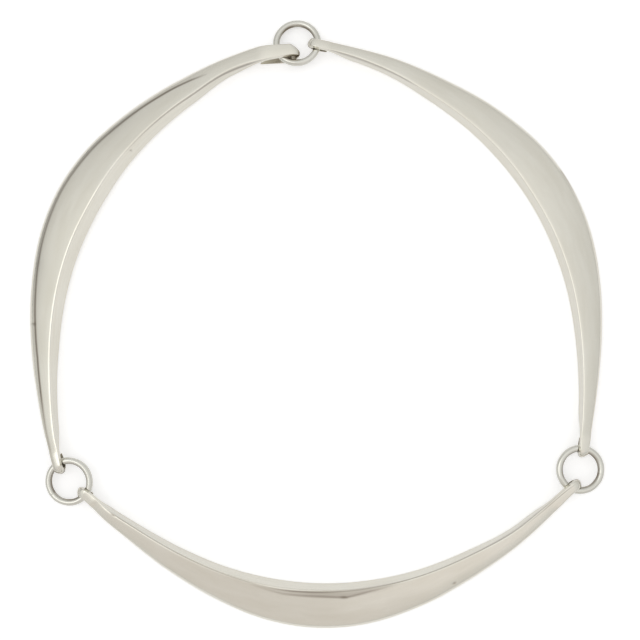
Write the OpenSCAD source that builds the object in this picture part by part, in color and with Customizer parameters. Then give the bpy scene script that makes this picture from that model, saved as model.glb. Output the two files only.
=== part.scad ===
// Rigid neck ring: three crescent bars joined by three plain rings, lying flat and clasped.
// Millimetres. +Z up from the table, +Y towards the clasp, origin under the middle of the whole.

/* [Bars] */
// Height of the sharp ridge above the table
ridge_h = 4.7; // [4.7:0.05:5]
// Tilt of the broad face, in degrees
face_tilt = 20; // [18:0.5:22]
// Crown of the broad face at a bar's middle
crown = 0.3; // [0:0.05:0.5]
// Radius of the rounded outer edge
nose_r = 2; // [1:0.1:2.2]
// Outward cant of the hook bar at its middle, in degrees
hook_bar_cant = 5; // [0:1:6]

/* [Folded ends] */
// Thickness of the strip that folds down through a ring
strip_t = 1.1; // [0.9:0.05:1.1]
// Set-in of the ridge on a folded strip
strip_set_in = 0.3; // [0.2:0.05:0.4]
// Width of a tongue's tip
tip_w = 0.5; // [0.4:0.05:0.8]
// Thickness of a tongue's tip
tip_t = 0.5; // [0.4:0.05:0.6]

/* [Rings] */
// Outer diameter of each ring
ring_d = 11.85; // [11.8:0.05:11.9]
// Thickness of each ring's round wire
wire_d = 1.65; // [1.3:0.05:1.65]

/* [Hidden] */

// From the bars' own layout to the middle of the whole
CENTRING = [1.2, 0.45, 0];

// Inner radius of a fold, so that its loop is as high as the ridge
fold_r = ridge_h / 2 - strip_t;
// Radius of a ring's centre line
ring_r = (ring_d - wire_d) / 2;

// Columns of half a bar's outline, from its middle out: distance along the chord, height of the
// centre line over it, width, set-in of the ridge
ALONG = 0;
RISE = 1;
WIDTH = 2;
SET_IN = 3;
// The front and right bars share one outline, and the hook bar is broader
MIDDLE = [
  [0, 33.2, 10.8, 0.95],
  [12, 31.95, 10.2, 1.1],
  [24, 28.25, 8.3, 0.95],
  [36, 22.35, 6.15, 0.7],
  [48, 14.5, 3.75, 0.35]
];
BROAD_MIDDLE = [
  [0, 32.6, 11.65, 1.45],
  [12, 31.4, 10.8, 1.5],
  [24, 27.75, 8.8, 1.25],
  [36, 21.95, 6.55, 0.85],
  [48, 14.3, 3.9, 0.35]
];
// Width at which the broad face has its full crown
crowned_w = MIDDLE[0][WIDTH];

// Columns of a kind of fold: length of the tongue, rise of its tip, length of the bar's raised
// underside, length over which that runs out, and as shares: bulge of the bend in plan, thinning
// of its two corners, lead of its upper half
TONGUE = 0;
TIP_RISE = 1;
FLAT = 2;
RUN_OUT = 3;
BULGE = 4;
CORNER_CUT = 5;
LEAD = 6;

// The usual loop, two with shorter tongues, of which one's bar stays raised for longer, and the
// open hook of the clasp
LOOP = [2.3, 0.5, 2.2, 7, 0, 0.55, 0];
RAISED_LOOP = [1.2, 0, 4.5, 9, 0, 0.55, 0];
SHORT_LOOP = [1.1, 0, 2.6, 5, 0, 0.55, 0];
HOOK = [7.4, 0, 5, 10, 0.05, 0.6, 0.55];

// Columns of a bar's ends, the left end first: place and width of its neck, middle of its fold,
// how steeply it drops there in degrees, width of the strip, slant of the fold, shift of its
// tongue towards the inner side, kind of fold
NECK_X = 0;
NECK_Y = 1;
NECK_W = 2;
FOLD_X = 3;
FOLD_Y = 4;
DROP = 5;
STRIP_W = 6;
SLANT = 7;
SHIFT = 8;
KIND = 9;
FRONT_ENDS = [
  [-53, 10.1, 3.2, -59.9, 3.7, 37.5, 2.45, -0.18, -0.1, RAISED_LOOP],
  [52, 11.65, 3.05, 57.85, 6.55, 32, 2.5, 0, -0.35, SHORT_LOOP]
];
RIGHT_ENDS = [
  [-53, 10.15, 2.9, -60, 3.15, 47, 2.4, -0.2, -0.15, LOOP],
  [53, 10.75, 3.0, 57.45, 7.35, 36.5, 2.5, 0, -0.1, LOOP]
];
HOOK_BAR_ENDS = [
  [-53, 10.55, 3.1, -59.05, 5.15, 42, 2.35, -0.15, 0.25, LOOP],
  [52, 10.6, 4, 56.65, 4.25, 55, 3.1, 0.25, 1.1, HOOK]
];

// Where a bar's chord lies: [x of its middle, y of its middle, turn in degrees]
FRONT_PLACE = [1, -36.2, 179.6];
RIGHT_PLACE = [27.6, 14.3, -58.9];
HOOK_BAR_PLACE = [-30.75, 14.05, 61.4];

// Middle of each ring, and its turn: lean of its outer side in degrees, way that it leans
LEFT_RING = [-60.95, -39.4, 2.3];
RIGHT_RING = [62.85, -36.15, 2.3];
CLASP_RING = [-5.65, 67.9, 2.05];
LEFT_TURN = [0, 6, 218];
RIGHT_TURN = [0, 5, -10];
CLASP_TURN = [0, 9, 100];

// Fineness: stations along a bar, round a bend, along a tongue; points on the nose and the face
bar_steps = 60;
// How much closer a bar's stations stand near its folds, as a share
end_fineness = 0.8;
bend_steps = 12;
tongue_steps = 6;
nose_steps = 5;
face_steps = 8;
// Sides of a ring and of its wire
ring_sides = 72;
wire_sides = 24;

// Limits of the rounded edge, as shares of a section's height and width, and of the set-in
nose_of_height = 0.43;
nose_of_width = 0.3;
set_in_of_width = 0.2;
// Least height of the upright outer wall below the rounded edge
wall_min = 0.15;
// The cant starts this far from a fold, and is full this much further on
cant_start = 6;
cant_length = 24;
// Share of a tongue's taper that moves its tip to the inner side, and of the shift that it loses
taper_shift = 0.4;
shift_loss = 0.4;

// Columns, and lists from the other end
function column(rows, k) = [for (row = rows) row[k]];
function backwards(list) = [for (i = [len(list) - 1:-1:0]) list[i]];
function mirrored(row) = [for (i = [0:len(row) - 1]) i == 0 ? -row[0] : row[i]];

// Smooth curve through points (xs, ys), each span a cubic with the given slopes at its ends
function span(x, xs, i = 0) = i >= len(xs) - 2 || x < xs[i + 1] ? i : span(x, xs, i + 1);
function secant(xs, ys, i) = (ys[i + 1] - ys[i]) / (xs[i + 1] - xs[i]);
function inner_slope(xs, ys, i) =
  let (before = xs[i] - xs[i - 1], after = xs[i + 1] - xs[i])
  (secant(xs, ys, i - 1) * after + secant(xs, ys, i) * before) / (before + after);
function slopes(xs, ys, first, last) =
  [for (i = [0:len(xs) - 1]) i == 0 ? first : i == len(xs) - 1 ? last : inner_slope(xs, ys, i)];
function plain_slopes(xs, ys) = slopes(xs, ys, secant(xs, ys, 0), secant(xs, ys, len(xs) - 2));
function curve(x, xs, ys, ms) =
  let (i = span(x, xs), h = xs[i + 1] - xs[i], t = (x - xs[i]) / h)
  (2 * t ^ 3 - 3 * t ^ 2 + 1) * ys[i] + (3 * t ^ 2 - 2 * t ^ 3) * ys[i + 1]
    + (t ^ 3 - 2 * t ^ 2 + t) * h * ms[i] + (t ^ 3 - t ^ 2) * h * ms[i + 1];
function curve_slope(x, xs, ys, ms) =
  let (i = span(x, xs), h = xs[i + 1] - xs[i], t = (x - xs[i]) / h)
  (6 * t ^ 2 - 6 * t) * (ys[i] - ys[i + 1]) / h
    + (3 * t ^ 2 - 4 * t + 1) * ms[i] + (3 * t ^ 2 - 2 * t) * ms[i + 1];

// Section across a bar or strip, [across, up], from its inner foot to its outer heel, up the low
// outer wall, round the rounded edge and up the crowned face to the ridge. The face keeps one tilt
// however narrow the bar is. The inner side is the last, nearly upright line.
function section(w, set_in, low, high) =
  let (
    r = min(nose_r, nose_of_height * (high - low), nose_of_width * w),
    ridge = [min(set_in, set_in_of_width * w) - w / 2, high],
    run = w / 2 - r - ridge.x,
    tilted = high - run * tan(face_tilt) - r / cos(face_tilt),
    nose = [w / 2 - r, max(low + wall_min, tilted)],
    away = norm(ridge - nose),
    bulge = crown * w / crowned_w,
    fall = atan2(high - nose.y, run) - asin(r / away),
    nose_end = 90 - fall - atan(4 * bulge / away),
    edge = nose + r * [cos(nose_end), sin(nose_end)],
    up = (ridge - edge) / norm(ridge - edge)
  )
  concat(
    [[-w / 2, low], [w / 2, low]],
    [for (k = [0:nose_steps])
      let (a = nose_end * k / nose_steps)
      nose + r * [cos(a), sin(a)]],
    [for (k = [1:face_steps])
      let (t = k / face_steps)
      edge + (ridge - edge) * t + [up.y, -up.x] * 4 * bulge * t * (1 - t)]
  );

// Turn a section outwards about its outer foot
function canted(points, w, cant) =
  [for (p = points)
    let (q = p - [w / 2, 0])
    [w / 2 + q.x * cos(cant) + q.y * sin(cant), q.y * cos(cant) - q.x * sin(cant)]];

// Share of a length, kept from 0 to 1
function share(value, length) = min(max(value / length, 0), 1);

// Height of a bar's underside at a distance from a fold's middle
function underside(distance, kind) =
  let (t = share(distance - kind[FLAT], kind[RUN_OUT]))
  (ridge_h - strip_t) * (1 - t) ^ 2 * (1 + 2 * t);

// Share of the way along a bar of each station
function station_share(i) =
  let (f = i / bar_steps)
  f - end_fineness * sin(360 * f) / (2 * PI);

// Stations of a bar between its two folds
function bar_stations(half, ends, cant) =
  let (
    left = ends[0],
    right = ends[1],
    middle = concat([for (i = [len(half) - 1:-1:1]) mirrored(half[i])], half),
    end_ins = [strip_set_in, strip_set_in],
    xs = concat([left[FOLD_X], left[NECK_X]], column(middle, ALONG), [right[NECK_X], right[FOLD_X]]),
    ys = concat([left[FOLD_Y], left[NECK_Y]], column(middle, RISE), [right[NECK_Y], right[FOLD_Y]]),
    ws = concat([left[STRIP_W], left[NECK_W]], column(middle, WIDTH), [right[NECK_W], right[STRIP_W]]),
    ins = concat(end_ins, column(middle, SET_IN), end_ins),
    y_slopes = slopes(xs, ys, tan(left[DROP]), -tan(right[DROP])),
    w_slopes = plain_slopes(xs, ws),
    in_slopes = plain_slopes(xs, ins)
  )
  [for (i = [0:bar_steps])
    let (
      x = left[FOLD_X] + (right[FOLD_X] - left[FOLD_X]) * station_share(i),
      y = curve(x, xs, ys, y_slopes),
      heading = atan(curve_slope(x, xs, ys, y_slopes)),
      w = curve(x, xs, ws, w_slopes),
      to_left = norm([x - left[FOLD_X], y - left[FOLD_Y]]),
      to_right = norm([x - right[FOLD_X], y - right[FOLD_Y]]),
      low = max(underside(to_left, left[KIND]), underside(to_right, right[KIND])),
      here = cant * share(min(to_left, to_right) - cant_start, cant_length),
      outline = canted(section(w, curve(x, xs, ins, in_slopes), low, ridge_h), w, here)
    )
    [for (p = outline) [x - p.x * sin(heading), y + p.x * cos(heading), p.y]]];

// Stations of one end past the bar: round the bend, then back along the tongue.
// side is -1 at a bar's left end and 1 at its right end.
function fold_stations(end, side) =
  let (
    w = end[STRIP_W],
    kind = end[KIND],
    middle = [end[FOLD_X], end[FOLD_Y]],
    ahead = [side * cos(end[DROP]), -sin(end[DROP])],
    outward = [side * sin(end[DROP]), cos(end[DROP])],
    strip = section(w, strip_set_in, 0, strip_t)
  )
  concat(
    [for (k = [1:bend_steps])
      let (a = 180 * k / bend_steps, drift = -end[SHIFT] * (1 - cos(a)) / 2)
      [for (p = strip)
        let (
          out = p.x / w + 0.5,
          bulge = w * (4 * kind[BULGE] * out * (1 - out) - end[SLANT] * out),
          thickness = p.y * (1 - kind[CORNER_CUT] * (2 * out - 1) ^ 2),
          reach = (fold_r + bulge + thickness) * sin(a) * (1 + kind[LEAD] * cos(a)),
          at = middle + ahead * reach + outward * (p.x + drift)
        )
        [at.x, at.y, ridge_h / 2 + (fold_r + p.y) * cos(a)]]],
    [for (k = [1:tongue_steps])
      let (
        f = k / tongue_steps,
        tongue_w = w + (tip_w - w) * f,
        t = strip_t + (tip_t - strip_t) * f,
        drift = -taper_shift * (w - tongue_w) - end[SHIFT] * (1 - shift_loss * f)
      )
      [for (p = section(tongue_w, strip_set_in, 0, t))
        let (at = middle - ahead * f * kind[TONGUE] + outward * (p.x + drift))
        [at.x, at.y, t - p.y + kind[TIP_RISE] * f ^ 2]]]
  );

// Closed skin over a row of stations that all have the same number of points
module skin(stations) {
  last = len(stations) - 1;
  m = len(stations[0]);
  sides = [for (i = [0:last - 1], j = [0:m - 1])
    let (a = i * m + j, b = i * m + (j + 1) % m)
    each [[b, a, a + m], [b, a + m, b + m]]];
  first_cap = [for (j = [1:m - 2]) [0, j, j + 1]];
  last_cap = [for (j = [1:m - 2]) [last * m, last * m + j + 1, last * m + j]];
  polyhedron(points = [for (s = stations) each s], faces = concat(sides, first_cap, last_cap));
}

// One bar with its two folded ends, laid along its chord
module bar(half, ends, place, cant = 0) {
  translate(CENTRING + [place.x, place.y, 0])
    rotate([0, 0, place.z])
      skin(concat(
        backwards(fold_stations(ends[0], -1)),
        bar_stations(half, ends, cant),
        fold_stations(ends[1], 1)
      ));
}

// One plain ring of round wire, its outer side leaning towards the table
module ring(place, turn) {
  translate(CENTRING + place)
    rotate(turn)
      rotate_extrude($fn = ring_sides)
        translate([ring_r, 0])
          circle(d = wire_d, $fn = wire_sides);
}

module front_bar() {
  color("silver") bar(MIDDLE, FRONT_ENDS, FRONT_PLACE);
}

module right_bar() {
  color("silver") bar(MIDDLE, RIGHT_ENDS, RIGHT_PLACE);
}

module hook_bar() {
  color("silver") bar(BROAD_MIDDLE, HOOK_BAR_ENDS, HOOK_BAR_PLACE, hook_bar_cant);
}

module left_ring() {
  color("silver") ring(LEFT_RING, LEFT_TURN);
}

module right_ring() {
  color("silver") ring(RIGHT_RING, RIGHT_TURN);
}

module clasp_ring() {
  color("silver") ring(CLASP_RING, CLASP_TURN);
}

front_bar();
right_bar();
hook_bar();
left_ring();
right_ring();
clasp_ring();
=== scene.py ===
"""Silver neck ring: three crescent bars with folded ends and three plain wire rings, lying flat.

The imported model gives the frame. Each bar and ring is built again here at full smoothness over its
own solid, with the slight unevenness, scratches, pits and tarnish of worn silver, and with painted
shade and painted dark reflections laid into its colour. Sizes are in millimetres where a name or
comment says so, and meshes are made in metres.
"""

import logging
import math
from dataclasses import dataclass, field
from enum import Enum

import bpy
import numpy as np
from mathutils import Matrix, Vector


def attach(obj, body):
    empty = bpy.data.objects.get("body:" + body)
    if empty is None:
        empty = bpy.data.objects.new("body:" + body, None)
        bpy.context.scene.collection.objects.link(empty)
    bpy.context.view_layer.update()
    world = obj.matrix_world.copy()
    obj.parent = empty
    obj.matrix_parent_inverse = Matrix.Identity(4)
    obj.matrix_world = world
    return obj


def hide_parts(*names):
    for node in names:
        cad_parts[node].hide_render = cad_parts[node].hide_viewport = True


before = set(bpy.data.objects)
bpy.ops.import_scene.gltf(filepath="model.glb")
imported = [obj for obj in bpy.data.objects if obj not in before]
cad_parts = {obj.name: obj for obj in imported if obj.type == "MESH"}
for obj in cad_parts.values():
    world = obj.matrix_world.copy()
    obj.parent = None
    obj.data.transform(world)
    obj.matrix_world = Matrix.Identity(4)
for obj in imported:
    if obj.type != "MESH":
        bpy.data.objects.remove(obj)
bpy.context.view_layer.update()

log = logging.getLogger("neck_ring")

MM = 0.001
BODY = "root"
# From the bars' own layout to the middle of the whole, in mm
CENTRING = (1.2, 0.45)

Colour = tuple[float, float, float]
Waves = tuple[float, float, float]


def turned_by(*turns: tuple[float, str]) -> Matrix:
    """Multiplies turns in the order given.

    Args:
        turns: An angle in degrees and an axis name for each.

    Returns:
        The whole rotation.
    """
    whole = Matrix.Identity(3)
    for degrees, axis in turns:
        whole = whole @ Matrix.Rotation(math.radians(degrees), 3, axis)
    return whole


class Slot(Enum):
    """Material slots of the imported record."""

    FORGED = "forged_silver"
    WIRE = "wire_silver"


@dataclass(frozen=True)
class FoldShape:
    """How a bar's end folds down through a ring, in mm, with the last three as shares.

    tongue and tip_rise are the tongue's length and the rise of its tip. flat is how far the bar's
    underside stays raised behind the fold, and run_out the length over which it then comes down.
    bulge rounds the whole bend in plan, corner_cut thins its two corners, and lead carries its
    upper half further out than its lower half.
    """

    tongue: float
    tip_rise: float
    flat: float
    run_out: float
    bulge: float
    corner_cut: float
    lead: float

    def rim(self) -> float:
        """Finds where the bend stands furthest out.

        Returns:
            The turn of the bend there, in radians.
        """
        if self.lead == 0:
            return math.pi / 2
        return math.acos((math.sqrt(1 + 8 * self.lead**2) - 1) / (4 * self.lead))


class Fold(Enum):
    """The kinds of folded end: the usual loop, two others and the clasp hook."""

    LOOP = FoldShape(2.3, 0.5, 2.2, 7.0, bulge=0.0, corner_cut=0.55, lead=0.0)
    RAISED_LOOP = FoldShape(1.2, 0.0, 4.5, 9.0, bulge=0.0, corner_cut=0.55, lead=0.0)
    SHORT_LOOP = FoldShape(1.1, 0.0, 2.6, 5.0, bulge=0.0, corner_cut=0.55, lead=0.0)
    HOOK = FoldShape(7.4, 0.0, 5.0, 10.0, bulge=0.05, corner_cut=0.6, lead=0.55)


@dataclass(frozen=True)
class BarEnd:
    """One end of a bar in the bar's own plan, in mm and degrees.

    neck is where the bar passes into its strip, fold_at the middle of the fold, and drop how
    steeply the bar comes down to it in plan. slant sets the bend askew, as a share of the strip's
    width, and shift moves the tongue towards the inner side.
    """

    neck: tuple[float, float]
    neck_width: float
    fold_at: tuple[float, float]
    drop: float
    strip_width: float
    slant: float
    shift: float
    fold: Fold


@dataclass(frozen=True)
class Mark:
    """A dent, nick, stain or painted dark reflection on a bar: its place along the chord in mm and
    across as a share.

    across is -1 on the inner outline and 1 on the outer one. Depth is in mm, into the metal.
    On a ring the place and the sizes are in degrees, about the ring and about its wire.
    """

    along: float
    across: float
    length: float
    width: float
    depth: float = 0.0
    stain_and_shade: float = 0.0


@dataclass(frozen=True)
class Streak:
    """A long dark line painted along a bar, in mm, some of them painted dark reflections.

    Each row gives a place along the chord, a distance and a strength from 0 to 1. The distance is
    from the ridge outwards, or from the outer edge inwards. The line fades out over its width.
    """

    rows: tuple[tuple[float, float, float], ...]
    width: float
    stain_and_shade: float
    from_edge: bool = False

    def share(
        self,
        station: np.ndarray,
        from_ridge: np.ndarray,
        from_edge: np.ndarray,
    ) -> np.ndarray:
        """Gives how much the line counts at points of a bar's upper side.

        Args:
            station: Place along the chord of each point, in mm.
            from_ridge: Distance outwards from the ridge, in mm.
            from_edge: Distance inwards from the outer edge, in mm.

        Returns:
            Shares from 0 to 1.
        """
        along, distance, strength = zip(*self.rows)
        off = (from_edge if self.from_edge else from_ridge) - np.interp(station, along, distance)
        return np.interp(station, along, strength) * np.exp(-((off / self.width) ** 2))


@dataclass(frozen=True)
class Layout:
    """A bar's skin before wear, and where each of its points lies on the bar.

    points are in mm in the model's frame, along is the distance along the bar, station the place
    along its chord, and across the share of the width, -1 on the inner outline and 1 on the outer.
    """

    points: np.ndarray
    along: np.ndarray
    station: np.ndarray
    across: np.ndarray


@dataclass(frozen=True)
class Outline:
    """Half of a bar's outline in mm, a value for each place from the middle out.

    along is the distance along the chord, rise the height of the centre line over it, width the
    bar's width, and set_in how far the ridge stands in from the inner outline.
    """

    along: tuple[float, ...] = (0.0, 12.0, 24.0, 36.0, 48.0)
    rise: tuple[float, ...] = (33.2, 31.95, 28.25, 22.35, 14.5)
    width: tuple[float, ...] = (10.8, 10.2, 8.3, 6.15, 3.75)
    set_in: tuple[float, ...] = (0.95, 1.1, 0.95, 0.7, 0.35)

    def whole(self, values: tuple[float, ...], sign: float = 1.0) -> list[float]:
        """Mirrors a column about the bar's middle.

        Args:
            values: The column, from the middle out.
            sign: What the mirrored half is multiplied by.

        Returns:
            The column from one side of the bar to the other.
        """
        return [sign * v for v in values[:0:-1]] + list(values)


class Curve:
    """Smooth curve through points, each span a cubic with given slopes at its two ends."""

    def __init__(
        self,
        xs: list[float],
        ys: list[float],
        first: float | None = None,
        last: float | None = None,
    ) -> None:
        """Works out the slopes.

        Args:
            xs: Places along the curve, in rising order.
            ys: The values there.
            first: Slope at the first point, or None for the first span's own.
            last: Slope at the last point, or None for the last span's own.
        """
        self.xs = np.array(xs)
        self.ys = np.array(ys)
        self.steps = np.diff(self.xs)
        secants = np.diff(self.ys) / self.steps
        before, after = self.steps[:-1], self.steps[1:]
        inner = (secants[:-1] * after + secants[1:] * before) / (before + after)
        start = secants[0] if first is None else first
        end = secants[-1] if last is None else last
        self.slopes = np.concatenate([[start], inner, [end]])

    def _span(self, x: np.ndarray) -> tuple[np.ndarray, np.ndarray]:
        """Finds the span of each place and the share of the way through it."""
        i = np.clip(np.searchsorted(self.xs, x, side="right") - 1, 0, len(self.xs) - 2)
        return i, (x - self.xs[i]) / self.steps[i]

    def value(self, x: np.ndarray) -> np.ndarray:
        """Gives the curve's values.

        Args:
            x: Places along the curve.

        Returns:
            The values there.
        """
        i, t = self._span(x)
        start = (2 * t**3 - 3 * t**2 + 1) * self.ys[i] + (3 * t**2 - 2 * t**3) * self.ys[i + 1]
        bend = (t**3 - 2 * t**2 + t) * self.slopes[i] + (t**3 - t**2) * self.slopes[i + 1]
        return start + bend * self.steps[i]

    def slope(self, x: np.ndarray) -> np.ndarray:
        """Gives the curve's slopes.

        Args:
            x: Places along the curve.

        Returns:
            The slopes there.
        """
        i, t = self._span(x)
        chord = (6 * t**2 - 6 * t) * (self.ys[i] - self.ys[i + 1]) / self.steps[i]
        start = (3 * t**2 - 4 * t + 1) * self.slopes[i]
        return chord + start + (3 * t**2 - 2 * t) * self.slopes[i + 1]


@dataclass(frozen=True)
class Unevenness:
    """Slow seeded waviness that forging and filing leave in metal, as a sum of sine waves.

    Height and lengths are in mm, and the greatest turn is a wave's, in radians off the piece's run.
    """

    seed: int
    height: float = 0.012
    longest: float = 30.0
    shortest: float = 9.0
    waves: int = 14
    greatest_turn: float = 0.9

    def at(self, along: np.ndarray, across: np.ndarray) -> np.ndarray:
        """Gives the waviness at places on a surface.

        Args:
            along: Distance along the piece, in mm.
            across: Distance across it, in mm.

        Returns:
            Heights in mm, about height in size.
        """
        rng = np.random.default_rng(self.seed)
        total = np.zeros_like(along)
        for _ in range(self.waves):
            length = math.exp(rng.uniform(math.log(self.shortest), math.log(self.longest)))
            turn = rng.uniform(-self.greatest_turn, self.greatest_turn)
            phase = rng.uniform(0, 2 * math.pi)
            run = along * math.cos(turn) + across * math.sin(turn)
            total += np.sin(2 * math.pi * run / length + phase)
        return total * self.height / math.sqrt(self.waves / 2)


@dataclass(frozen=True)
class SilverFinish:
    """Worn silver: satin sheen, fine scratches along the piece, light pits and warm tarnish, with a
    dark colour mixed in for stains and patina and for painted shade and painted dark reflections.

    Depths are in mm. Scratches, grain and clouds are noise over the piece's own coordinates, with
    so many waves per mm along it, around it and upwards. The ranges are the parts of the noise
    that count, from none to full.
    """

    name: str
    clean: Colour
    tarnish: Colour
    stain_and_shade: Colour
    roughness: float
    roughness_spread: float
    scratch_depth: float
    grain_depth: float
    scratch_waves: Waves = (0.12, 5.0, 1.0)
    grain_waves: Waves = (3.0, 3.0, 3.0)
    cloud_waves: Waves = (0.09, 0.16, 1.0)
    scratch_detail: float = 5.0
    grain_detail: float = 4.0
    cloud_detail: float = 3.0
    scratch_range: tuple[float, float] = (0.3, 0.7)
    cloud_range: tuple[float, float] = (0.35, 0.7)

    def material(self) -> bpy.types.Material:
        """Makes the node material.

        Returns:
            The finished material.
        """
        made = bpy.data.materials.new(self.name)
        made.use_nodes = True
        tree = made.node_tree
        shader = tree.nodes["Principled BSDF"]
        shader.inputs["Metallic"].default_value = 1.0
        place = self._attribute(tree, "place").outputs["Vector"]
        scratches = self._noise(tree, place, self.scratch_waves, self.scratch_detail)
        grain = self._noise(tree, place, self.grain_waves, self.grain_detail)
        clouds = self._noise(tree, place, self.cloud_waves, self.cloud_detail)

        tarnished = self._range(tree, clouds, self.cloud_range, (0.0, 1.0))
        tint = self._mix(tree, tarnished, self.clean, self.tarnish)
        # The stain colour is mixed in by a value at each point: real stains and patina, and also
        # painted shade and painted dark reflections.
        stain_and_shade = self._attribute(tree, "stain_and_shade").outputs["Fac"]
        tree.links.new(self._mix(tree, stain_and_shade, tint, self.stain_and_shade), shader.inputs["Base Color"])

        spread = self.roughness - self.roughness_spread, self.roughness + self.roughness_spread
        dulled = self._range(tree, scratches, self.scratch_range, spread)
        tree.links.new(dulled, shader.inputs["Roughness"])

        scratched = self._bump(tree, scratches, self.scratch_depth, None)
        grained = self._bump(tree, grain, self.grain_depth, scratched)
        tree.links.new(grained, shader.inputs["Normal"])
        return made

    @staticmethod
    def _attribute(tree: bpy.types.NodeTree, name: str) -> bpy.types.Node:
        """Reads a value that the mesh carries at each point.

        Args:
            tree: The material's nodes.
            name: Name of the value.

        Returns:
            The node that reads it.
        """
        node = tree.nodes.new("ShaderNodeAttribute")
        node.attribute_name = name
        return node

    @staticmethod
    def _noise(
        tree: bpy.types.NodeTree,
        place: bpy.types.NodeSocket,
        waves: Waves,
        detail: float,
    ) -> bpy.types.NodeSocket:
        """Adds stretched noise over the piece's own coordinates.

        Args:
            tree: The material's nodes.
            place: The piece's own coordinates, in mm.
            waves: Waves per mm along the piece, around it and upwards.
            detail: How many finer layers the noise has.

        Returns:
            The noise.
        """
        mapping = tree.nodes.new("ShaderNodeMapping")
        mapping.inputs["Scale"].default_value = waves
        tree.links.new(place, mapping.inputs["Vector"])
        node = tree.nodes.new("ShaderNodeTexNoise")
        node.inputs["Scale"].default_value = 1.0
        node.inputs["Detail"].default_value = detail
        tree.links.new(mapping.outputs["Vector"], node.inputs["Vector"])
        return node.outputs["Fac"]

    @staticmethod
    def _range(
        tree: bpy.types.NodeTree,
        value: bpy.types.NodeSocket,
        given: tuple[float, float],
        wanted: tuple[float, float],
    ) -> bpy.types.NodeSocket:
        """Stretches a value from one range to another.

        Args:
            tree: The material's nodes.
            value: The value.
            given: The range that it is taken from.
            wanted: The range that it is spread over.

        Returns:
            The stretched value.
        """
        node = tree.nodes.new("ShaderNodeMapRange")
        node.inputs["From Min"].default_value, node.inputs["From Max"].default_value = given
        node.inputs["To Min"].default_value, node.inputs["To Max"].default_value = wanted
        tree.links.new(value, node.inputs["Value"])
        return node.outputs["Result"]

    @staticmethod
    def _mix(
        tree: bpy.types.NodeTree,
        share: bpy.types.NodeSocket,
        first: bpy.types.NodeSocket | Colour,
        second: bpy.types.NodeSocket | Colour,
    ) -> bpy.types.NodeSocket:
        """Mixes two colours, each a plain colour or another node's.

        Args:
            tree: The material's nodes.
            share: Share of the second colour.
            first: The first colour.
            second: The second colour.

        Returns:
            The mixed colour.
        """
        node = tree.nodes.new("ShaderNodeMix")
        node.data_type = "RGBA"
        tree.links.new(share, node.inputs["Factor"])
        colours = [socket for socket in node.inputs if socket.type == "RGBA"]
        for socket, value in zip(colours, (first, second)):
            if isinstance(value, tuple):
                socket.default_value = (*value, 1.0)
            else:
                tree.links.new(value, socket)
        return next(socket for socket in node.outputs if socket.type == "RGBA")

    @staticmethod
    def _bump(
        tree: bpy.types.NodeTree,
        height: bpy.types.NodeSocket,
        depth: float,
        below: bpy.types.NodeSocket | None,
    ) -> bpy.types.NodeSocket:
        """Adds relief over the relief below it.

        Args:
            tree: The material's nodes.
            height: Height of the relief, from 0 to 1.
            depth: Its whole depth, in mm.
            below: The relief below, or None for the first.

        Returns:
            The direction that the relieved surface faces.
        """
        node = tree.nodes.new("ShaderNodeBump")
        node.inputs["Strength"].default_value = 1.0
        node.inputs["Distance"].default_value = depth * MM
        tree.links.new(height, node.inputs["Height"])
        if below is not None:
            tree.links.new(below, node.inputs["Normal"])
        return node.outputs["Normal"]


@dataclass(frozen=True)
class Skin:
    """A closed surface over a grid of points: rows along the piece, points round each row."""

    name: str
    points: np.ndarray
    along: np.ndarray
    around: np.ndarray
    stain_and_shade: np.ndarray
    joined_ends: bool = False

    def normals(self) -> np.ndarray:
        """Works out the outward direction at each point of the grid.

        Returns:
            Unit vectors, in the shape of the points.
        """
        if self.joined_ends:
            lengthways = np.roll(self.points, -1, 0) - np.roll(self.points, 1, 0)
        else:
            lengthways = np.gradient(self.points, axis=0)
        crossways = np.roll(self.points, -1, 1) - np.roll(self.points, 1, 1)
        found = np.cross(crossways, lengthways)
        return found / np.maximum(np.linalg.norm(found, axis=2, keepdims=True), 1e-9)

    def build(self, material: bpy.types.Material) -> bpy.types.Object:
        """Makes the smooth mesh and gives it its material and its own coordinates.

        Args:
            material: The finish.

        Returns:
            The new object, in metres.
        """
        rows, count = self.points.shape[:2]
        mesh = bpy.data.meshes.new(self.name)
        mesh.from_pydata((self.points.reshape(-1, 3) * MM).tolist(), [], self._faces(rows, count))
        mesh.validate()
        mesh.polygons.foreach_set("use_smooth", [True] * len(mesh.polygons))
        place = mesh.attributes.new("place", "FLOAT_VECTOR", "POINT")
        values = np.stack([self.along, self.around, self.points[..., 2]], -1)
        place.data.foreach_set("vector", values.astype(np.float32).ravel())
        # Each point's darkening: real stains and patina, and also painted shade and painted dark
        # reflections.
        stain_and_shade = mesh.attributes.new("stain_and_shade", "FLOAT", "POINT")
        stain_and_shade.data.foreach_set("value", np.clip(self.stain_and_shade, 0, 1).astype(np.float32).ravel())
        mesh.materials.append(material)
        mesh.update()
        made = bpy.data.objects.new(self.name, mesh)
        bpy.context.scene.collection.objects.link(made)
        return made

    def _faces(self, rows: int, count: int) -> list[list[int]]:
        """Lists the faces between rows, and the two end caps of an open skin.

        Args:
            rows: Number of rows.
            count: Points in each row.

        Returns:
            The numbers of each face's points.
        """
        faces = []
        for i in range(rows if self.joined_ends else rows - 1):
            here, after = i * count, ((i + 1) % rows) * count
            for j in range(count):
                k = (j + 1) % count
                faces.append([here + j, here + k, after + k, after + j])
        if not self.joined_ends:
            faces.append(list(range(count))[::-1])
            faces.append([(rows - 1) * count + j for j in range(count)])
        return faces


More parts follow.
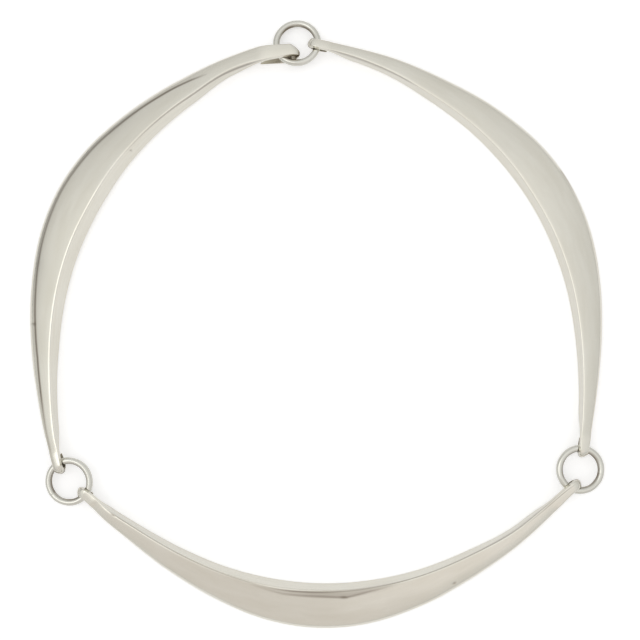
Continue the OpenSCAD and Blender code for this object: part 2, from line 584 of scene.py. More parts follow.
@dataclass(frozen=True)
class CrescentBar:
    """One forged crescent bar with a folded strip at each end, in mm and degrees.

    Names that end in _of_height, _of_width or _share are shares of a section's own size, and those
    that end in _points or _steps are counts. Stains, painted shade and painted dark reflections have
    strengths from 0 to 1 and reach so far.
    wear_from is the height over which wear comes in above the table, and tip_turn how far a
    tongue's tip is rounded.
    """

    name: str
    node: str
    left: BarEnd
    right: BarEnd
    middle: tuple[float, float]
    turn: float
    unevenness: Unevenness
    cant: float = 0.0
    marks: tuple[Mark, ...] = ()
    streaks: tuple[Streak, ...] = ()
    outline: Outline = field(default_factory=Outline)
    ridge_h: float = 4.7
    nose_r: float = 2.0
    nose_of_height: float = 0.43
    nose_of_width: float = 0.3
    set_in_of_width: float = 0.2
    edge_min: float = 0.15
    face_tilt: float = 20.0
    crown: float = 0.3
    crowned_width: float = 10.8
    strip_t: float = 1.1
    strip_set_in: float = 0.3
    tip_w: float = 0.5
    tip_t: float = 0.5
    ridge_ease: float = 0.6
    ridge_ease_of_height: float = 0.17
    ridge_ease_of_width: float = 0.2
    side_ease_share: float = 0.45
    foot_ease: float = 0.25
    foot_ease_of_height: float = 0.14
    heel_ease_share: float = 0.8
    cant_start: float = 6.0
    cant_length: float = 24.0
    taper_shift: float = 0.4
    shift_loss: float = 0.4
    fold_patina_and_shade: float = 0.65
    fold_patina_and_shade_reach: float = 5.0
    tip_fade: float = 0.9
    tip_fade_at: float = 7.0
    rim_painted_reflection: float = 0.9
    rim_painted_reflection_reach: float = 0.45
    rim_painted_reflection_before: float = 0.05
    wear_from: float = 0.8
    tip_turn: float = 86.4
    nose_points: int = 15
    face_points: int = 30
    side_points: int = 12
    base_points: int = 7
    ridge_steps: int = 9
    foot_steps: int = 5
    heel_steps: int = 3
    bar_steps: int = 420
    bend_steps: int = 36
    tongue_steps: int = 36
    tip_steps: int = 5

    def build(self, material: bpy.types.Material) -> bpy.types.Object:
        """Makes the bar's mesh in its place and ties it to the frame.

        Args:
            material: The silver finish.

        Returns:
            The finished piece.
        """
        laid = self.layout()
        around = self._girth(laid.points)
        stain_and_shade = self._stain_and_shade(laid)
        skin = Skin(self.name, laid.points, laid.along, around, stain_and_shade)
        made = Skin(self.name, self._worn(skin, laid), laid.along, around, stain_and_shade).build(material)
        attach(made, BODY)
        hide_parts(self.node)
        return made

    def section(self, w: float, set_in: float, low: float, high: float) -> np.ndarray:
        """Draws the section across the bar or strip, with its ridge and foot eased.

        Args:
            w: Width.
            set_in: How far the ridge stands in from the inner outline.
            low: Height of the underside.
            high: Height of the ridge.

        Returns:
            Points of [across, up], from the outer heel up the face to the ridge, down the inner
            side to the foot, and back along the underside.
        """
        height = high - low
        r = min(self.nose_r, self.nose_of_height * height, self.nose_of_width * w)
        foot = np.array([-w / 2, low])
        ridge = np.array([min(set_in, self.set_in_of_width * w) - w / 2, high])
        tilt = math.radians(self.face_tilt)
        run = w / 2 - r - ridge[0]
        tilted = high - run * math.tan(tilt) - r / math.cos(tilt)
        nose = np.array([w / 2 - r, max(low + self.edge_min, tilted)])
        away = np.linalg.norm(ridge - nose)
        fall = math.atan2(high - nose[1], run) - math.asin(r / away)
        bulge = self.crown * w / self.crowned_width
        nose_end = math.pi / 2 - fall - math.atan(4 * bulge / away)
        turn = np.linspace(0, nose_end, self.nose_points)
        arc = nose + r * np.stack([np.cos(turn), np.sin(turn)], 1)
        edge = arc[-1]
        face_l = np.linalg.norm(ridge - edge)
        up = (ridge - edge) / face_l
        ease = min(self.ridge_ease_of_height * height, self.ridge_ease_of_width * w)
        ease = min(self.ridge_ease, ease)
        t = np.linspace(0, 1 - ease / face_l, self.face_points + 1)[1:, None]
        face = edge + (ridge - edge) * t + np.array([up[1], -up[0]]) * 4 * bulge * t * (1 - t)
        side_l = np.linalg.norm(foot - ridge)
        foot_ease = min(self.foot_ease, self.foot_ease_of_height * height)
        side_ease = ease * self.side_ease_share
        s = np.linspace(side_ease / side_l, 1 - foot_ease / side_l, self.side_points)[:, None]
        side = ridge + (foot - ridge) * s
        heel = np.array([w / 2, low])
        heel_ease = min(foot_ease, self.heel_ease_share * (nose[1] - low))
        wall = heel + np.array([[0, heel_ease], [0, (nose[1] - low + heel_ease) / 2]])
        s = np.linspace(foot_ease / w, 1 - heel_ease / w, self.base_points)[:, None]
        base = foot + (heel - foot) * s
        top = self._corner(face[-1], ridge, side[0], self.ridge_steps)
        bottom = self._corner(side[-1], foot, base[0], self.foot_steps)
        outer = self._corner(base[-1], heel, wall[0], self.heel_steps)
        return np.concatenate([wall, arc, face, top, side, bottom, base, outer])

    def _under_points(self) -> int:
        """Counts the points of a section that lie on its underside, past the inner side."""
        return self.foot_steps - 1 + self.base_points + self.heel_steps - 1

    @staticmethod
    def _corner(
        before: np.ndarray,
        corner: np.ndarray,
        after: np.ndarray,
        steps: int,
    ) -> np.ndarray:
        """Eases a corner: the points between the two sides, ends left out."""
        t = np.linspace(0, 1, steps + 1)[1:-1, None]
        return (1 - t) ** 2 * before + 2 * t * (1 - t) * corner + t**2 * after

    def _underside(self, distance: np.ndarray, fold: FoldShape) -> np.ndarray:
        """Gives the height of the bar's underside at distances from a fold's middle."""
        t = np.clip((distance - fold.flat) / fold.run_out, 0, 1)
        return (self.ridge_h - self.strip_t) * (1 - t) ** 2 * (1 + 2 * t)

    def _line(self) -> tuple[Curve, Curve, Curve]:
        """Makes the curves that the bar follows along its chord.

        Returns:
            The curves of the centre line, the width and the ridge's set-in.
        """
        a, b, o = self.left, self.right, self.outline
        xs = [a.fold_at[0], a.neck[0], *o.whole(o.along, -1.0), b.neck[0], b.fold_at[0]]
        ys = [a.fold_at[1], a.neck[1], *o.whole(o.rise), b.neck[1], b.fold_at[1]]
        ws = [a.strip_width, a.neck_width, *o.whole(o.width), b.neck_width, b.strip_width]
        ends = [self.strip_set_in] * 2
        steep = math.tan(math.radians(a.drop)), -math.tan(math.radians(b.drop))
        return Curve(xs, ys, *steep), Curve(xs, ws), Curve(xs, [*ends, *o.whole(o.set_in), *ends])

    def layout(self) -> Layout:
        """Lays out the whole skin from one tongue's tip to the other's.

        Returns:
            The points and where they lie on the bar.
        """
        line, widths, set_ins = self._line()
        x = np.linspace(self.left.fold_at[0], self.right.fold_at[0], self.bar_steps + 1)
        y, heading = line.value(x), np.arctan(line.slope(x))
        to_left = np.hypot(x - x[0], y - y[0])
        to_right = np.hypot(x - x[-1], y - y[-1])
        low = np.maximum(
            self._underside(to_left, self.left.fold.value),
            self._underside(to_right, self.right.fold.value),
        )
        nearest = np.minimum(to_left, to_right)
        cant = np.radians(self.cant) * np.clip((nearest - self.cant_start) / self.cant_length, 0, 1)
        rows, shares, places = [], [], []
        for i, w in enumerate(widths.value(x)):
            flat = self.section(w, set_ins.value(x[i : i + 1])[0], low[i], self.ridge_h)
            q = flat - [w / 2, 0]
            n = w / 2 + q[:, 0] * math.cos(cant[i]) + q[:, 1] * math.sin(cant[i])
            z = q[:, 1] * math.cos(cant[i]) - q[:, 0] * math.sin(cant[i])
            left = x[i] - n * math.sin(heading[i])
            rows.append(np.stack([left, y[i] + n * math.cos(heading[i]), z], 1))
            shares.append(2 * flat[:, 0] / w)
            places.append(x[i])
        first, last = self._fold(self.left, -1), self._fold(self.right, 1)
        rows = first[::-1] + rows + last
        shares = [shares[0]] * len(first) + shares + [shares[-1]] * len(last)
        steps = np.linalg.norm(np.diff(np.array([r.mean(0) for r in rows]), axis=0), axis=1)
        run = np.concatenate([[0], np.cumsum(steps)])
        before, after = run[: len(first)] - run[len(first)], run[-len(last) :] - run[-len(last) - 1]
        stations = np.concatenate([places[0] + before, places, places[-1] + after])
        points = self._placed(np.array(rows))
        along, station = (np.tile(row[:, None], points.shape[1]) for row in (run, stations))
        return Layout(points, along, station, np.array(shares))

    def _fold(self, end: BarEnd, side: int) -> list[np.ndarray]:
        """Lays out one end past the bar: round the bend, back along the tongue, round its tip.

        Args:
            end: The end.
            side: -1 at the bar's left end and 1 at its right end.

        Returns:
            The rows of points, from the bar out.
        """
        drop, w, shape = math.radians(end.drop), end.strip_width, end.fold.value
        ahead = np.array([side * math.cos(drop), -math.sin(drop)])
        outward = np.array([side * math.sin(drop), math.cos(drop)])
        middle = np.array(end.fold_at)
        inside = self.ridge_h / 2 - self.strip_t
        strip = self.section(w, self.strip_set_in, 0, self.strip_t)
        rows = []
        for k in range(1, self.bend_steps + 1):
            a = math.pi * k / self.bend_steps
            drift = -end.shift * (1 - math.cos(a)) / 2
            r = inside + strip[:, 1]
            share = strip[:, 0] / w + 0.5
            plan_bulge = 4 * shape.bulge * share * (1 - share) - end.slant * share
            corner = shape.corner_cut * (2 * share - 1) ** 2
            reach = inside + w * plan_bulge + strip[:, 1] * (1 - corner)
            reach = reach * math.sin(a) * (1 + shape.lead * math.cos(a))
            plan = middle + ahead * reach[:, None] + outward * (strip[:, :1] + drift)
            rows.append(np.column_stack([plan, self.ridge_h / 2 + r * math.cos(a)]))
        for k in range(1, self.tongue_steps + 1):
            f = k / self.tongue_steps
            rows.append(self._tongue_row(end, ahead, outward, f))
        tip = rows[-1]
        centre = tip.mean(0)
        for k in range(1, self.tip_steps + 1):
            a = math.radians(self.tip_turn) * k / self.tip_steps
            step = np.array([*(-ahead * math.sin(a) * self.tip_t / 2), 0.0])
            rows.append(centre + (tip - centre) * math.cos(a) + step)
        return rows

    def _tongue_row(
        self,
        end: BarEnd,
        ahead: np.ndarray,
        outward: np.ndarray,
        f: float,
    ) -> np.ndarray:
        """Lays out one row of a tongue.

        Args:
            end: The end that the tongue belongs to.
            ahead: Direction in plan in which the bar runs into the fold.
            outward: Direction in plan towards the bar's outer side.
            f: Share of the tongue's length from the bend.

        Returns:
            The row's points.
        """
        shape, w = end.fold.value, end.strip_width
        tongue_w = w + (self.tip_w - w) * f
        t = self.strip_t + (self.tip_t - self.strip_t) * f
        drift = -self.taper_shift * (w - tongue_w) - end.shift * (1 - self.shift_loss * f)
        cut = self.section(tongue_w, self.strip_set_in, 0, t)
        plan = np.array(end.fold_at) - ahead * f * shape.tongue + outward * (cut[:, :1] + drift)
        return np.column_stack([plan, t - cut[:, 1] + shape.tip_rise * f**2])

    def _placed(self, points: np.ndarray) -> np.ndarray:
        """Turns points from the bar's own plan into the model's frame.

        Args:
            points: Points along the chord, across it and up, in mm.

        Returns:
            The points in the model's frame, in mm.
        """
        c, s = math.cos(math.radians(self.turn)), math.sin(math.radians(self.turn))
        x, y = points[..., 0], points[..., 1]
        left = self.middle[0] + CENTRING[0] + x * c - y * s
        ahead = self.middle[1] + CENTRING[1] + x * s + y * c
        return np.stack([left, ahead, points[..., 2]], -1)

    @staticmethod
    def _girth(points: np.ndarray) -> np.ndarray:
        """Measures the way round each row to each of its points, in mm."""
        steps = np.linalg.norm(np.diff(points, axis=1), axis=2)
        return np.concatenate([np.zeros((len(points), 1)), np.cumsum(steps, 1)], 1)

    def _shares(self, mark: Mark, laid: Layout) -> np.ndarray:
        """Gives how much a mark counts at each point of the upper side.

        Args:
            mark: The mark.
            laid: The bar's skin.

        Returns:
            Shares from 0 to 1.
        """
        width = self._line()[1].value(np.array([mark.along]))[0]
        x = (laid.station - mark.along) / mark.length
        y = (laid.across - mark.across) * width / 2 / mark.width
        return np.exp(-(x**2) - y**2)

    def _stain_and_shade(self, laid: Layout) -> np.ndarray:
        """Works out the darkening: marks, dark lines, painted dark reflection at the bends, and
        painted shade with patina inside the folds.

        Args:
            laid: The bar's skin.

        Returns:
            Strength of the darkening at each point.
        """
        total = np.zeros(laid.station.shape)
        count = laid.station.shape[1]
        upper = np.arange(count) < count - self._under_points()
        _, widths, set_ins = self._line()
        place = np.clip(laid.station, self.left.fold_at[0], self.right.fold_at[0])
        width = widths.value(place)
        from_edge = (1 - laid.across) * width / 2
        set_in = np.minimum(set_ins.value(place), self.set_in_of_width * width)
        from_ridge = (1 + laid.across) * width / 2 - set_in
        for mark in self.marks:
            total += mark.stain_and_shade * self._shares(mark, laid) * upper
        for streak in self.streaks:
            total += streak.stain_and_shade * streak.share(laid.station, from_ridge, from_edge) * upper
        # Painted shade, with real patina, under the strip inside each fold, fading onto the tongue
        # towards its tip.
        into = np.minimum(place - self.left.fold_at[0], self.right.fold_at[0] - place)
        under = self.fold_patina_and_shade * np.clip(1 - into / self.fold_patina_and_shade_reach, 0, 1) * ~upper
        radius = (self.ridge_h - self.strip_t) / 2
        for end, past in ((self.left, place - laid.station), (self.right, laid.station - place)):
            # Painted dark reflection round the outer rim of each bend, where it faces the darker low
            # surround.
            off = past - end.fold.value.rim() * radius + self.rim_painted_reflection_before
            total += self.rim_painted_reflection * np.exp(-((off / self.rim_painted_reflection_reach) ** 2)) * upper
            # The painted shade and patina fade along the tongue.
            onto_tongue = np.clip((past - math.pi * radius) / self.tip_fade_at, 0, 1)
            under = under * (1 - self.tip_fade * onto_tongue)
        return total + under

    def _worn(self, skin: Skin, laid: Layout) -> np.ndarray:
        """Moves the skin by its unevenness and its dents, leaving the base flat on the table.

        Args:
            skin: The surface before wear.
            laid: Where its points lie on the bar.

        Returns:
            The moved points, in mm.
        """
        free = np.clip(skin.points[..., 2] / self.wear_from, 0, 1)
        moved = self.unevenness.at(skin.along, skin.around) * free
        for mark in self.marks:
            moved = moved - mark.depth * self._shares(mark, laid) * free
        return skin.points + skin.normals() * moved[..., None]


@dataclass(frozen=True)
class WireRing:
    """One plain ring of round wire, its outer side leaning towards the table."""

    name: str
    node: str
    middle: tuple[float, float, float]
    lean: float
    way: float
    unevenness: Unevenness
    marks: tuple[Mark, ...] = ()
    ring_d: float = 11.85
    wire_d: float = 1.65
    inner_tarnish_and_shade: float = 0.95
    tarnish_and_shade_reach: float = 46.0
    tarnish_and_shade_spread: float = 0.3
    longest_patch: float = 14.0
    shortest_patch: float = 3.0
    steps: int = 240
    sides: int = 40

    def build(self, material: bpy.types.Material) -> bpy.types.Object:
        """Makes the ring's mesh in its place and ties it to the frame.

        Args:
            material: The silver finish.

        Returns:
            The finished piece.
        """
        points, along, around, turn, girth = self.grid()
        patchy = Unevenness(
            self.unevenness.seed + 1,
            self.tarnish_and_shade_spread,
            self.longest_patch,
            self.shortest_patch,
        )
        # Darker towards the wire's inner side: patchy tarnish, and painted shade, the shaded floor
        # inside the ring as the wire mirrors it.
        inner = (np.degrees(girth) - 180) / self.tarnish_and_shade_reach
        stain_and_shade = self.inner_tarnish_and_shade * (1 + patchy.at(along, around)) * np.exp(-(inner**2))
        for mark in self.marks:
            x = (np.degrees(turn) - mark.along + 180) % 360 - 180
            y = (np.degrees(girth) - mark.across + 180) % 360 - 180
            stain_and_shade += mark.stain_and_shade * np.exp(-((x / mark.length) ** 2) - (y / mark.width) ** 2)
        made = Skin(self.name, points, along, around, stain_and_shade, joined_ends=True).build(material)
        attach(made, BODY)
        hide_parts(self.node)
        return made

    def grid(self) -> tuple[np.ndarray, ...]:
        """Lays out the ring's skin.

        Returns:
            Points in mm in the model's frame, distances along and around the wire, and the turns
            about the ring and about the wire in radians.
        """
        radius = (self.ring_d - self.wire_d) / 2
        turn = np.linspace(0, 2 * math.pi, self.steps, endpoint=False)[:, None]
        girth = np.linspace(0, 2 * math.pi, self.sides, endpoint=False)[None, :]
        along = turn * radius + 0 * girth
        around = girth * self.wire_d / 2 + 0 * turn
        wire = self.wire_d / 2 + self.unevenness.at(along, around)
        out = radius + wire * np.cos(girth)
        flat = np.stack([out * np.cos(turn), out * np.sin(turn), wire * np.sin(girth)], -1)
        turned = turned_by((self.way, "Z"), (self.lean, "Y"))
        shift = np.array([CENTRING[0], CENTRING[1], 0.0]) + np.array(self.middle)
        return flat @ np.array(turned).T + shift, along, around, turn, girth


@dataclass(frozen=True)
class Camera:
    """The photograph's camera: nearly straight down, in mm and degrees."""

    height: float = 320.0
    tilt_x: float = 2.1
    tilt_y: float = 1.3
    lens: float = 73.47
    sensor: float = 36.0

    def build(self) -> None:
        """Makes the camera and hands it to the scene."""
        data = bpy.data.cameras.new("camera")
        data.lens = self.lens
        data.sensor_width = self.sensor
        made = bpy.data.objects.new("camera", data)
        bpy.context.scene.collection.objects.link(made)
        turned = turned_by((self.tilt_x, "X"), (self.tilt_y, "Y"))
        centre = Vector((CENTRING[0] * MM, CENTRING[1] * MM, 0))
        at = turned @ Vector((0, 0, self.height * MM)) + centre
        made.matrix_world = Matrix.Translation(at) @ turned.to_4x4()
        bpy.context.scene.camera = made


@dataclass(frozen=True)
class SkyPatch:
    """A soft-edged patch of the surround, lit or shaded, in degrees.

    azimuth is counted from +X towards +Y and polar from straight up. The patch is full out to
    its radius and gone after its fade, and tall is its height as a share of its width.
    """

    azimuth: float
    polar: float
    radius: float
    fade: float
    colour: Colour
    tall: float = 1.0

    def over(
        self,
        tree: bpy.types.NodeTree,
        way: bpy.types.NodeSocket,
        below: bpy.types.NodeSocket,
    ) -> bpy.types.NodeSocket:
        """Lays the patch over what the surround shows so far.

        Args:
            tree: The surround's nodes.
            way: Direction looked in.
            below: Colour so far.

        Returns:
            The colour with the patch over it.
        """
        turned = turned_by((self.azimuth, "Z"), (self.polar, "Y"))
        level, up, ahead = (turned @ Vector(axis) for axis in ((0, 1, 0), (1, 0, 0), (0, 0, 1)))
        offset = tree.nodes.new("ShaderNodeCombineXYZ")
        tree.links.new(self._dot(tree, way, level), offset.inputs["X"])
        tree.links.new(self._dot(tree, way, up / self.tall), offset.inputs["Y"])
        length = tree.nodes.new("ShaderNodeVectorMath")
        length.operation = "LENGTH"
        tree.links.new(offset.outputs["Vector"], length.inputs[0])
        edge = tree.nodes.new("ShaderNodeMapRange")
        edge.interpolation_type = "SMOOTHSTEP"
        edge.inputs["From Min"].default_value = math.sin(math.radians(self.radius + self.fade))
        edge.inputs["From Max"].default_value = math.sin(math.radians(self.radius))
        tree.links.new(length.outputs["Value"], edge.inputs["Value"])
        facing = tree.nodes.new("ShaderNodeMath")
        facing.operation = "GREATER_THAN"
        facing.inputs[1].default_value = 0.0
        tree.links.new(self._dot(tree, way, ahead), facing.inputs[0])
        share = tree.nodes.new("ShaderNodeMath")
        share.operation = "MULTIPLY"
        tree.links.new(edge.outputs["Result"], share.inputs[0])
        tree.links.new(facing.outputs["Value"], share.inputs[1])
        mix = tree.nodes.new("ShaderNodeMix")
        mix.data_type = "RGBA"
        tree.links.new(share.outputs["Value"], mix.inputs["Factor"])
        first, second = (socket for socket in mix.inputs if socket.type == "RGBA")
        tree.links.new(below, first)
        second.default_value = (*self.colour, 1.0)
        return next(socket for socket in mix.outputs if socket.type == "RGBA")

    @staticmethod
    def _dot(
        tree: bpy.types.NodeTree,
        way: bpy.types.NodeSocket,
        axis: Vector,
    ) -> bpy.types.NodeSocket:
        """Measures how far a direction leans along an axis.

        Args:
            tree: The surround's nodes.
            way: The direction.
            axis: The axis.

        Returns:
            The dot product of the two.
        """
        node = tree.nodes.new("ShaderNodeVectorMath")
        node.operation = "DOT_PRODUCT"
        node.inputs[1].default_value = axis
        tree.links.new(way, node.inputs[0])
        return node.outputs["Value"]


@dataclass(frozen=True)
class Studio:
    """A plain pale floor under a soft white tent, lit from the left and darker low down.

    The floor's size is in metres and its heights in mm. The tent's greys are for its polar angles,
    in degrees from straight up, and the patches are laid over it in order.
    """

    floor_size: float = 3.0
    floor_height: float = -0.03
    mirrored_height: float = -0.02
    paper_roughness: float = 0.9
    floor_colour: Colour = (0.95, 0.95, 0.95)
    floor_glow: float = 0.34
    mirrored_floor: Colour = (0.62, 0.62, 0.63)
    mirrored_glow: float = 0.35
    tent: tuple[float, ...] = (0.5, 0.58, 0.66, 0.70, 0.745, 0.785, 0.87, 0.90)
    tent_polars: tuple[float, ...] = (90.0, 80.0, 70.0, 60.0, 47.0, 38.0, 26.0, 0.0)
    patches: tuple[SkyPatch, ...] = (
        SkyPatch(azimuth=175, polar=50, radius=10, fade=18, colour=(0.79, 0.79, 0.78)),
        SkyPatch(azimuth=152, polar=84, radius=18, fade=9, colour=(0.3, 0.3, 0.3), tall=0.38),
        SkyPatch(azimuth=262, polar=52, radius=18, fade=26, colour=(0.69, 0.66, 0.645)),
        SkyPatch(azimuth=300, polar=42, radius=9, fade=15, colour=(0.825, 0.795, 0.785)),
        SkyPatch(azimuth=182, polar=26, radius=12, fade=10, colour=(1.45, 1.45, 1.45)),
    )

    def build(self) -> None:
        """Makes the floor and the surround."""
        self._floor()
        self._sky()
        view = bpy.context.scene.view_settings
        view.view_transform = "Standard"
        view.look = "None"

    def _floor(self) -> None:
        """Makes the floor that the camera sees, and the duller one that the silver mirrors."""
        seen = self._sheet("white_paper", self.floor_colour, self.floor_glow, self.floor_height)
        seen.visible_glossy = False
        # Painted shade: the silver mirrors this duller copy of the paper instead of the paper
        # itself, as if the floor round the pieces were shaded.
        mirrored = self._sheet(
            "paper_in_mirror",
            self.mirrored_floor,
            self.mirrored_glow,
            self.mirrored_height,
        )
        mirrored.visible_camera = False
        mirrored.visible_diffuse = False
        mirrored.visible_shadow = False

    def _sheet(self, name: str, colour: Colour, glow: float, height: float) -> bpy.types.Object:
        """Makes a plain sheet of paper just under the bars.

        Args:
            name: Name of the sheet and its paper.
            colour: Colour of the paper.
            glow: Light that it adds of its own.
            height: Height in mm.

        Returns:
            The sheet.
        """
        half = self.floor_size / 2
        mesh = bpy.data.meshes.new(name)
        corners = [(-half, -half, 0), (half, -half, 0), (half, half, 0), (-half, half, 0)]
        mesh.from_pydata(corners, [], [(0, 1, 2, 3)])
        made = bpy.data.objects.new(name, mesh)
        made.location.z = height * MM
        bpy.context.scene.collection.objects.link(made)
        paper = bpy.data.materials.new(name)
        paper.use_nodes = True
        shader = paper.node_tree.nodes["Principled BSDF"]
        shader.inputs["Base Color"].default_value = (*colour, 1.0)
        shader.inputs["Roughness"].default_value = self.paper_roughness
        shader.inputs["Specular IOR Level"].default_value = 0.0
        shader.inputs["Emission Color"].default_value = (1.0, 1.0, 1.0, 1.0)
        shader.inputs["Emission Strength"].default_value = glow
        mesh.materials.append(paper)
        return made

    def _sky(self) -> None:
        """Makes the surround: a ramp by height with the patches over it."""
        world = bpy.data.worlds.new("surround")
        world.use_nodes = True
        bpy.context.scene.world = world
        tree = world.node_tree
        way = tree.nodes.new("ShaderNodeTexCoord").outputs["Generated"]
        split = tree.nodes.new("ShaderNodeSeparateXYZ")
        ramp = tree.nodes.new("ShaderNodeValToRGB")
        stops = ramp.color_ramp.elements
        while len(stops) < len(self.tent):
            stops.new(0.5)
        for stop, polar, grey in zip(stops, self.tent_polars, self.tent):
            stop.position = math.cos(math.radians(polar))
            stop.color = (grey, grey, grey, 1.0)
        tree.links.new(way, split.inputs["Vector"])
        tree.links.new(split.outputs["Z"], ramp.inputs["Fac"])
        seen = ramp.outputs["Color"]
        for patch in self.patches:
            seen = patch.over(tree, way, seen)
        tree.links.new(seen, tree.nodes["Background"].inputs["Color"])


FORGED_SILVER = SilverFinish(
    name="forged_silver",
    clean=(0.875, 0.851, 0.76),
    tarnish=(0.835, 0.805, 0.705),
    stain_and_shade=(0.24, 0.20, 0.155),
    roughness=0.22,
    roughness_spread=0.05,
    scratch_depth=0.004,
    grain_depth=0.003,
)
WIRE_SILVER = SilverFinish(
    name="wire_silver",
    clean=(0.82, 0.81, 0.74),
    tarnish=(0.72, 0.71, 0.64),
    stain_and_shade=(0.24, 0.20, 0.15),
    roughness=0.22,
    roughness_spread=0.06,
    scratch_depth=0.008,
    grain_depth=0.008,
)

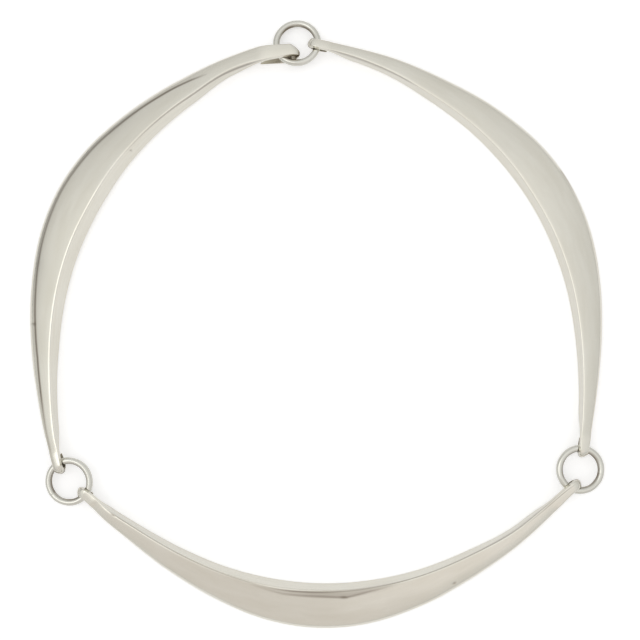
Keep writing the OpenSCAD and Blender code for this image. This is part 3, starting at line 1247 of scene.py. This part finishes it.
BARS = (
    CrescentBar(
        name="front_crescent",
        node="front_bar",
        left=BarEnd(
            neck=(-53, 10.1),
            neck_width=3.2,
            fold_at=(-59.9, 3.7),
            drop=37.5,
            strip_width=2.45,
            slant=-0.18,
            shift=-0.1,
            fold=Fold.RAISED_LOOP,
        ),
        right=BarEnd(
            neck=(52, 11.65),
            neck_width=3.05,
            fold_at=(57.85, 6.55),
            drop=32.0,
            strip_width=2.5,
            slant=0.0,
            shift=-0.35,
            fold=Fold.SHORT_LOOP,
        ),
        middle=(1.0, -36.2),
        turn=179.6,
        unevenness=Unevenness(seed=3),
        marks=(
            Mark(-30.7, 0.57, 0.35, 0.3, depth=0.05, stain_and_shade=0.5),
            Mark(51.2, -0.6, 0.45, 0.2, depth=0.05, stain_and_shade=0.65),
            Mark(-5.4, -0.47, 0.9, 0.4, depth=-0.03, stain_and_shade=0.3),
        ),
        streaks=(
            Streak(
                rows=(
                    (-20, 0.2, 0),
                    (-12, 0.9, 0.6),
                    (-6, 1.85, 1),
                    (0, 1.6, 0.9),
                    (10, 1.5, 0.6),
                    (20, 0.5, 0),
                ),
                width=0.26,
                stain_and_shade=0.65,
            ),
            Streak(
                rows=((-22, 0.1, 0), (-12, 0.15, 0.8), (0, 0.45, 1), (8, 0.6, 0.9), (18, 0.6, 0)),
                width=0.22,
                stain_and_shade=0.65,
            ),
            Streak(
                rows=((-18, 0.4, 0), (-10, 0.8, 0.8), (-6, 1.1, 1), (3, 1.0, 0.9), (14, 0.8, 0)),
                width=0.6,
                stain_and_shade=0.36,
            ),
            # Painted dark reflection beside the ridge.
            Streak(
                rows=((14, 0.3, 0), (20, 0.25, 1), (36, 0.15, 1), (50, 0.1, 0.9), (53, 0.1, 0)),
                width=0.11,
                stain_and_shade=0.6,
            ),
            # Painted dark reflection beside the ridge.
            Streak(
                rows=(
                    (-60, 0.05, 0),
                    (-56, 0.05, 0.7),
                    (-44, 0.0, 1),
                    (-20, 0.05, 0.9),
                    (-13, 0.05, 0),
                ),
                width=0.1,
                stain_and_shade=0.6,
            ),
            # Painted dark reflection near the ridge at this end.
            Streak(
                rows=((-61, 0.55, 0), (-58, 0.5, 1), (-52, 0.4, 0.8), (-48, 0.35, 0)),
                width=0.1,
                stain_and_shade=0.5,
            ),
        ),
    ),
    CrescentBar(
        name="right_crescent",
        node="right_bar",
        left=BarEnd(
            neck=(-53, 10.15),
            neck_width=2.9,
            fold_at=(-60, 3.15),
            drop=47.0,
            strip_width=2.4,
            slant=-0.2,
            shift=-0.15,
            fold=Fold.LOOP,
        ),
        right=BarEnd(
            neck=(53, 10.75),
            neck_width=3.0,
            fold_at=(57.45, 7.35),
            drop=36.5,
            strip_width=2.5,
            slant=0.0,
            shift=-0.1,
            fold=Fold.LOOP,
        ),
        middle=(27.6, 14.3),
        turn=-58.9,
        unevenness=Unevenness(seed=5),
        marks=(Mark(8.9, 0.77, 2.0, 0.7, depth=0.04),),
        streaks=(
            Streak(
                rows=((-3.5, 0.35, 0), (-2.3, 0.35, 1), (0, 0.35, 0.8), (4, 0.4, 0.3), (9, 0.5, 0)),
                width=0.28,
                stain_and_shade=0.6,
                from_edge=True,
            ),
            # Painted dark reflection beside the ridge.
            Streak(
                rows=((-59, -0.03, 0), (-56, -0.03, 1), (-42, -0.03, 0.9), (-39, -0.03, 0)),
                width=0.07,
                stain_and_shade=0.6,
            ),
        ),
    ),
    CrescentBar(
        name="hook_crescent",
        node="hook_bar",
        left=BarEnd(
            neck=(-53, 10.55),
            neck_width=3.1,
            fold_at=(-59.05, 5.15),
            drop=42.0,
            strip_width=2.35,
            slant=-0.15,
            shift=0.25,
            fold=Fold.LOOP,
        ),
        right=BarEnd(
            neck=(52, 10.6),
            neck_width=4.0,
            fold_at=(56.65, 4.25),
            drop=55.0,
            strip_width=3.1,
            slant=0.25,
            shift=1.1,
            fold=Fold.HOOK,
        ),
        middle=(-30.75, 14.05),
        turn=61.4,
        cant=5.0,
        ridge_ease=0.5,
        outline=Outline(
            rise=(32.6, 31.4, 27.75, 21.95, 14.3),
            width=(11.65, 10.8, 8.8, 6.55, 3.9),
            set_in=(1.45, 1.5, 1.25, 0.85, 0.35),
        ),
        unevenness=Unevenness(seed=8),
        marks=(
            Mark(-30.8, 0.62, 0.25, 0.5, depth=0.03, stain_and_shade=0.6),
            Mark(17.6, -0.8, 0.2, 0.15, stain_and_shade=0.6),
        ),
        streaks=(
            # Painted dark reflection along the outer edge, where the rounded edge faces the darker
            # low surround on the left.
            Streak(
                rows=(
                    (-62, 0.35, 0),
                    (-59, 0.45, 0.3),
                    (-53, 0.75, 0.4),
                    (-49, 1.05, 0.6),
                    (-45, 1.35, 1),
                    (-38, 1.95, 1),
                    (-30, 1.9, 1),
                    (-20, 1.7, 0.85),
                    (0, 1.55, 0.75),
                    (20, 1.7, 0.9),
                    (28, 1.7, 1),
                    (34, 1.8, 1),
                    (38, 2.0, 0.85),
                    (42, 2.4, 0),
                ),
                width=0.28,
                stain_and_shade=0.95,
                from_edge=True,
            ),
            # Painted dark reflection beside the ridge.
            Streak(
                rows=((16, -0.08, 0), (28, -0.08, 1), (50, -0.08, 1), (54, -0.08, 0)),
                width=0.06,
                stain_and_shade=0.8,
            ),
        ),
    ),
)
RINGS = (
    WireRing(
        name="left_link",
        node="left_ring",
        middle=(-60.95, -39.4, 2.3),
        lean=6.0,
        way=218.0,
        unevenness=Unevenness(seed=13, longest=9.0, shortest=2.5),
    ),
    WireRing(
        name="right_link",
        node="right_ring",
        middle=(62.85, -36.15, 2.3),
        lean=5.0,
        way=-10.0,
        unevenness=Unevenness(seed=17, longest=9.0, shortest=2.5),
    ),
    WireRing(
        name="clasp_link",
        node="clasp_ring",
        middle=(-5.65, 67.9, 2.05),
        lean=9.0,
        way=100.0,
        unevenness=Unevenness(seed=21, longest=9.0, shortest=2.5),
        # Painted dark reflection on the wire where it passes through the hook and mirrors the hook's
        # shaded inside.
        marks=(Mark(140, 150, 24, 60, stain_and_shade=0.9),),
    ),
)


def main() -> None:
    """Builds the camera, the studio, the bars and the rings, in that order."""
    logging.basicConfig(level=logging.INFO, format="%(message)s")
    Camera().build()
    Studio().build()
    forged, wire = FORGED_SILVER.material(), WIRE_SILVER.material()
    for bar in BARS:
        made = bar.build(forged)
        log.info("%s: %d faces over %s", made.name, len(made.data.polygons), bar.node)
    for ring in RINGS:
        made = ring.build(wire)
        log.info("%s: %d faces over %s", made.name, len(made.data.polygons), ring.node)


if __name__ == "__main__":
    main()
